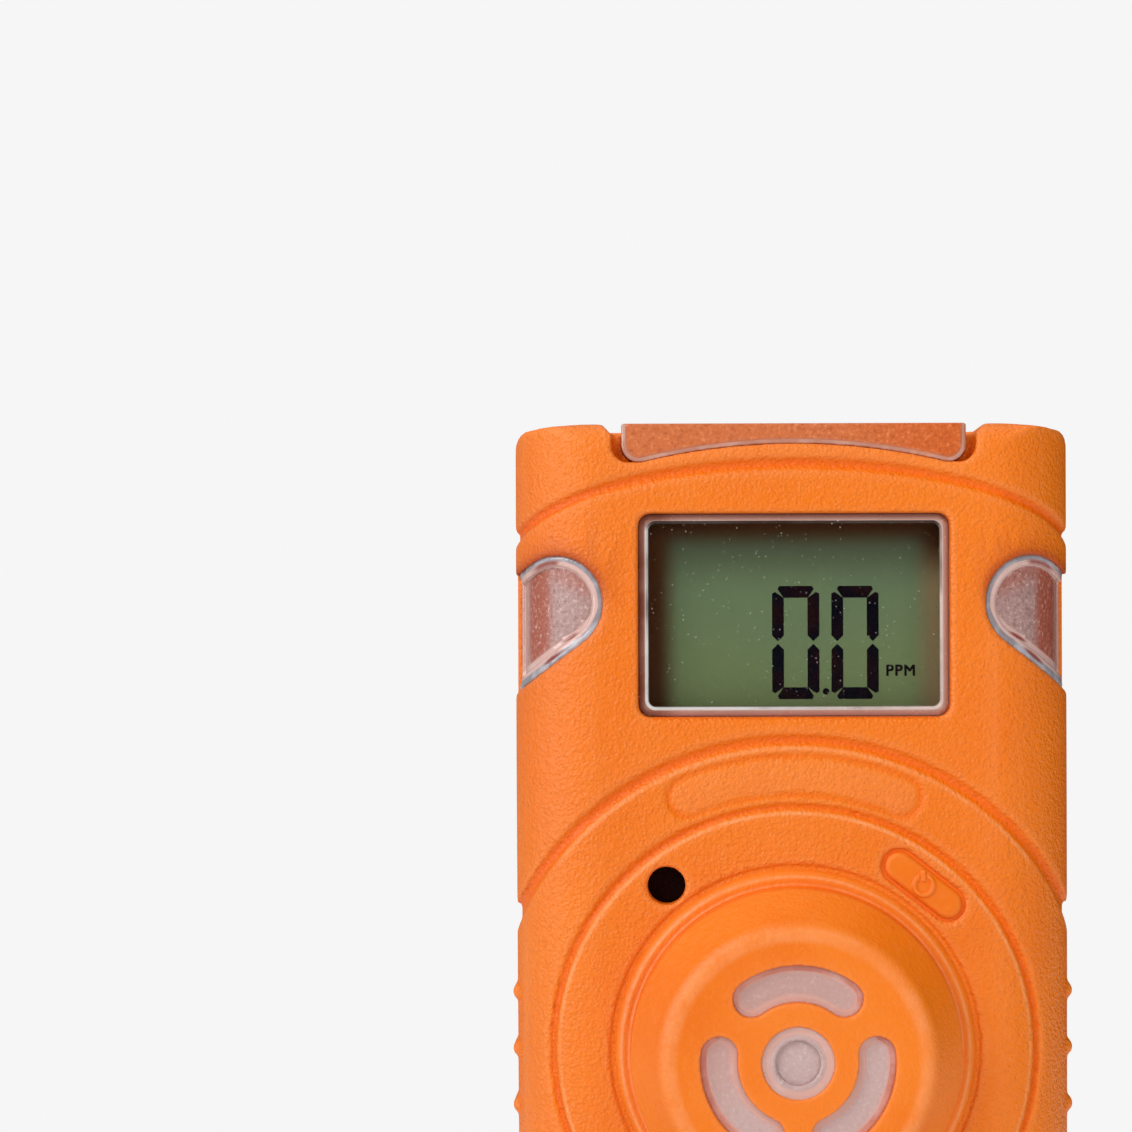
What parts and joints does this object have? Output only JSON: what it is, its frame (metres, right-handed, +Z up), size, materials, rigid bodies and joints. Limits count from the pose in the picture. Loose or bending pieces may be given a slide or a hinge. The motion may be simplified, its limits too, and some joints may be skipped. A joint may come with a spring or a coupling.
{
  "type": "portable gas detector",
  "caption": "Pocket single-gas detector: moulded case with display, sensor cap, alarm lenses, press button and a sprung belt clip behind.",
  "frame": {"origin": "centre of the flat base face, midway between the front and back faces of the case", "axes": "+X to the right seen from the front, +Y from the display side towards the clip, +Z up towards the top lens"},
  "size_m": [0.0504, 0.0388, 0.085],
  "materials": {
    "case_orange": "fine leather grain, matte",
    "key_orange": "fine leather grain, matte",
    "cap_orange": "fine leather grain, matte",
    "clear_plastic": "polished clear, frosted where it spreads light",
    "seal_rubber": "matte",
    "steel": "brushed",
    "spring_steel": "drawn wire",
    "screw_steel": "zinc plated",
    "lcd_glass": "gloss",
    "white_plastic": "satin",
    "foam": "open foam",
    "board_green": "solder mask",
    "chip_black": "matte",
    "led_clear": "clear",
    "can_metal": "satin",
    "filter_white": "sintered",
    "sensor_body": "matte",
    "brass": "gold flash",
    "battery_wrap": "shrink wrap",
    "nickel": "bare",
    "label_silver": "satin foil"
  },
  "bodies": {
    "case": {"front_shell": "case_orange", "rear_shell": "case_orange", "case_seal": "seal_rubber", "case_screws": "screw_steel", "display_window": "clear_plastic", "window_gasket": "foam", "lcd_panel": "lcd_glass", "lcd_frame": "white_plastic", "backlight": "white_plastic", "contact_strips": "foam", "alarm_lens_top": "clear_plastic", "alarm_lens_left": "clear_plastic", "alarm_lens_right": "clear_plastic", "main_board": "board_green", "board_screws": "screw_steel", "board_chips": "chip_black", "alarm_leds": "led_clear", "infrared_module": "chip_black", "power_switch": "chip_black", "sounder": "can_metal", "sounder_gasket": "seal_rubber", "sounder_mesh": "chip_black", "sensor_cap": "cap_orange", "sensor_window": "clear_plastic", "dust_filter": "filter_white", "sensor_gasket": "seal_rubber", "gas_sensor": "sensor_body", "sensor_holder": "chip_black", "sensor_sockets": "brass", "battery": "battery_wrap", "battery_tabs": "nickel", "battery_pad": "foam", "vibration_motor": "can_metal", "motor_boot": "seal_rubber", "rating_label": "label_silver", "clip_base": "steel", "clip_pin": "steel", "clip_spring": "spring_steel", "clip_screws": "screw_steel"},
    "button": {"power_button": "key_orange"},
    "plunger": {"switch_plunger": "white_plastic"},
    "weight": {"vibration_weight": "steel"},
    "lever": {"clip_lever": "steel"}
  },
  "joints": [
    {"name": "button_press", "type": "slide", "parent": "case", "child": "button", "axis": [0, 1, 0], "range_m": [0, 0.0004], "stiffness_N_per_m": 400},
    {"name": "plunger_press", "type": "slide", "parent": "case", "child": "plunger", "axis": [0, 1, 0], "range_m": [0, 0.0004]},
    {"name": "clip_hinge", "type": "hinge", "parent": "case", "child": "lever", "pos_m": [0, 0.0166, 0.062], "axis": [1, 0, 0], "range_deg": [0, 24], "stiffness_Nm_per_rad": 0.2, "springref_deg": -20.05, "deforming": ["clip_spring"]},
    {"name": "motor_spin", "type": "hinge", "parent": "case", "child": "weight", "pos_m": [0.012, 0.0002, 0.067], "axis": [0, 0, 1], "continuous": true}
  ],
  "couplings": [
    {"joint": "plunger_press", "follows": "button_press", "ratio": 1}
  ]
}
